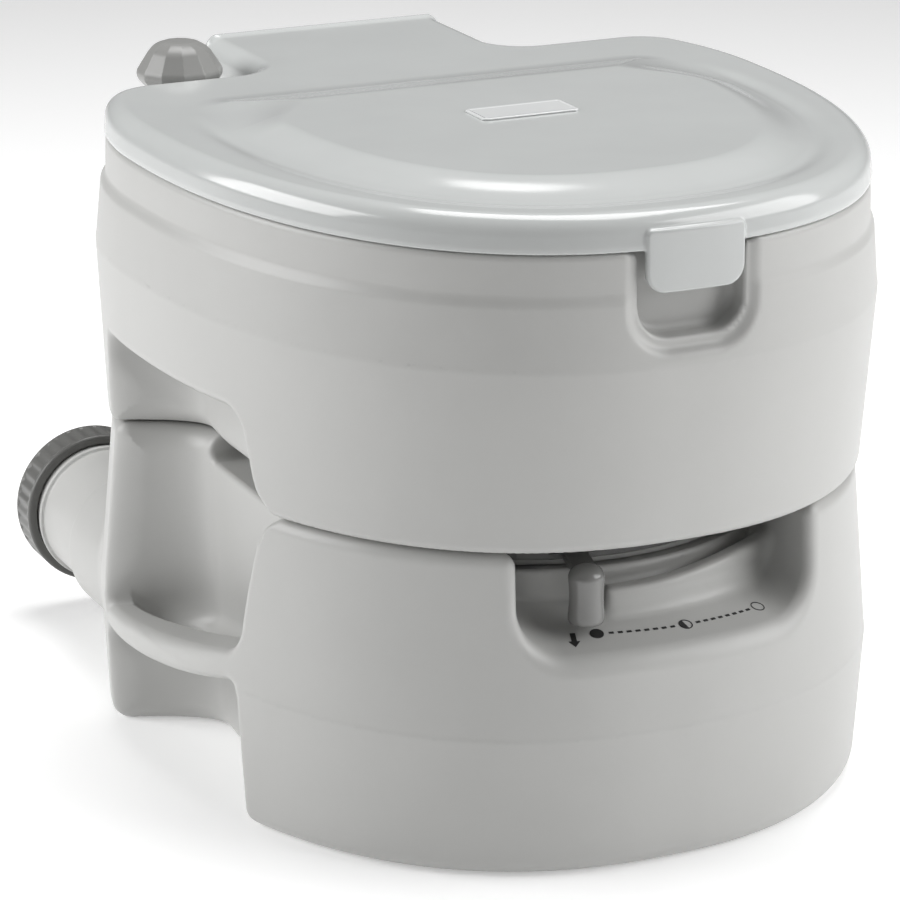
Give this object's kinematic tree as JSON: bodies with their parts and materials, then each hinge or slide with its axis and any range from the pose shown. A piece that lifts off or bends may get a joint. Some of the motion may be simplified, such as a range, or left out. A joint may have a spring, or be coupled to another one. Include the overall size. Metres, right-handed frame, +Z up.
{
  "type": "portable camp toilet",
  "caption": "Two-tank portable toilet with hinged lid and seat, pump flush, swinging waste valve and a capped pour spout.",
  "frame": {"origin": "centre of the bounding box on the floor plane", "axes": "+Z up, the user faces -Y, the pour spout leaves the rear left along +Y, +X to the right seen from the front"},
  "size_m": [0.4042, 0.532, 0.372],
  "materials": {
    "tank_plastic": "satin blow-moulded polyethylene, light warm grey",
    "lid_plastic": "glossy injection-moulded plastic, light grey",
    "bowl_plastic": "smooth glossy plastic, light grey",
    "grey_plastic": "satin plastic, mid grey",
    "valve_plastic": "satin plastic, grey",
    "black_rubber": "dull black rubber",
    "steel": "plain stainless steel"
  },
  "bodies": {
    "waste_tank_assembly": {"waste_tank": "tank_plastic", "pour_spout": "tank_plastic", "valve_gasket": "black_rubber", "valve_base": "valve_plastic", "valve_cover": "valve_plastic", "blade_seal": "black_rubber", "bowl_seal": "black_rubber", "valve_screw_1": "steel", "valve_screw_2": "steel", "valve_screw_3": "steel", "valve_screw_4": "steel", "valve_screw_5": "steel", "valve_screw_6": "steel", "blade_pin": "steel"},
    "spout_cap_assembly": {"spout_cap": "grey_plastic", "spout_cap_seal": "black_rubber"},
    "valve_lever": {"valve_ring": "valve_plastic", "lever_grip": "grey_plastic"},
    "valve_blade": {"valve_blade": "valve_plastic"},
    "flush_tank_assembly": {"flush_tank": "tank_plastic", "bowl": "bowl_plastic", "hinge_pin_left": "steel", "hinge_pin_right": "steel", "pump_barrel": "valve_plastic", "pump_collar": "grey_plastic", "pump_inlet_valve": "black_rubber", "flush_pipe": "black_rubber", "flush_nozzle": "grey_plastic", "fill_cap_seal": "black_rubber"},
    "fill_cap": {"fill_cap": "grey_plastic"},
    "pump_plunger": {"pump_rod": "steel", "pump_piston": "valve_plastic", "piston_ring": "black_rubber", "pump_knob": "grey_plastic"},
    "seat": {"seat": "lid_plastic", "seat_bumper_1": "black_rubber", "seat_bumper_2": "black_rubber", "seat_bumper_3": "black_rubber", "seat_bumper_4": "black_rubber"},
    "lid": {"lid": "lid_plastic", "lid_skirt": "lid_plastic", "lid_badge": "tank_plastic", "lid_bumper_1": "black_rubber", "lid_bumper_2": "black_rubber", "lid_bumper_3": "black_rubber", "lid_bumper_4": "black_rubber"}
  },
  "joints": [
    {"name": "flush_tank_lift", "type": "slide", "parent": "waste_tank_assembly", "child": "flush_tank_assembly", "axis": [0, 0, 1], "range_m": [0, 0.12]},
    {"name": "seat_hinge", "type": "hinge", "parent": "flush_tank_assembly", "child": "seat", "pos_m": [0, 0.1995, 0.34], "axis": [-1, 0, 0], "range_deg": [0, 95]},
    {"name": "lid_hinge", "type": "hinge", "parent": "seat", "child": "lid", "pos_m": [0, 0.1995, 0.34], "axis": [-1, 0, 0], "range_deg": [0, 95]},
    {"name": "pump_stroke", "type": "slide", "parent": "flush_tank_assembly", "child": "pump_plunger", "axis": [0, 0, 1], "range_m": [0, 0.06]},
    {"name": "fill_cap_turn", "type": "hinge", "parent": "flush_tank_assembly", "child": "fill_cap", "pos_m": [0.1145, 0.1465, 0.312], "axis": [0, 0, 1], "range_deg": [0, 90]},
    {"name": "spout_cap_turn", "type": "hinge", "parent": "waste_tank_assembly", "child": "spout_cap_assembly", "pos_m": [-0.137, 0.266, 0.065], "axis": [0, 1, 0], "range_deg": [0, 120]},
    {"name": "valve_lever_swing", "type": "hinge", "parent": "waste_tank_assembly", "child": "valve_lever", "pos_m": [0, -0.0655, 0.1578], "axis": [0, 0, 1], "range_deg": [0, 35]},
    {"name": "valve_blade_swing", "type": "hinge", "parent": "waste_tank_assembly", "child": "valve_blade", "pos_m": [-0.04302, -0.0281, 0.1545], "axis": [0, 0, 1], "range_deg": [0, 83]}
  ],
  "couplings": [
    {"joint": "valve_blade_swing", "follows": "valve_lever_swing", "ratio": 2.3571}
  ]
}
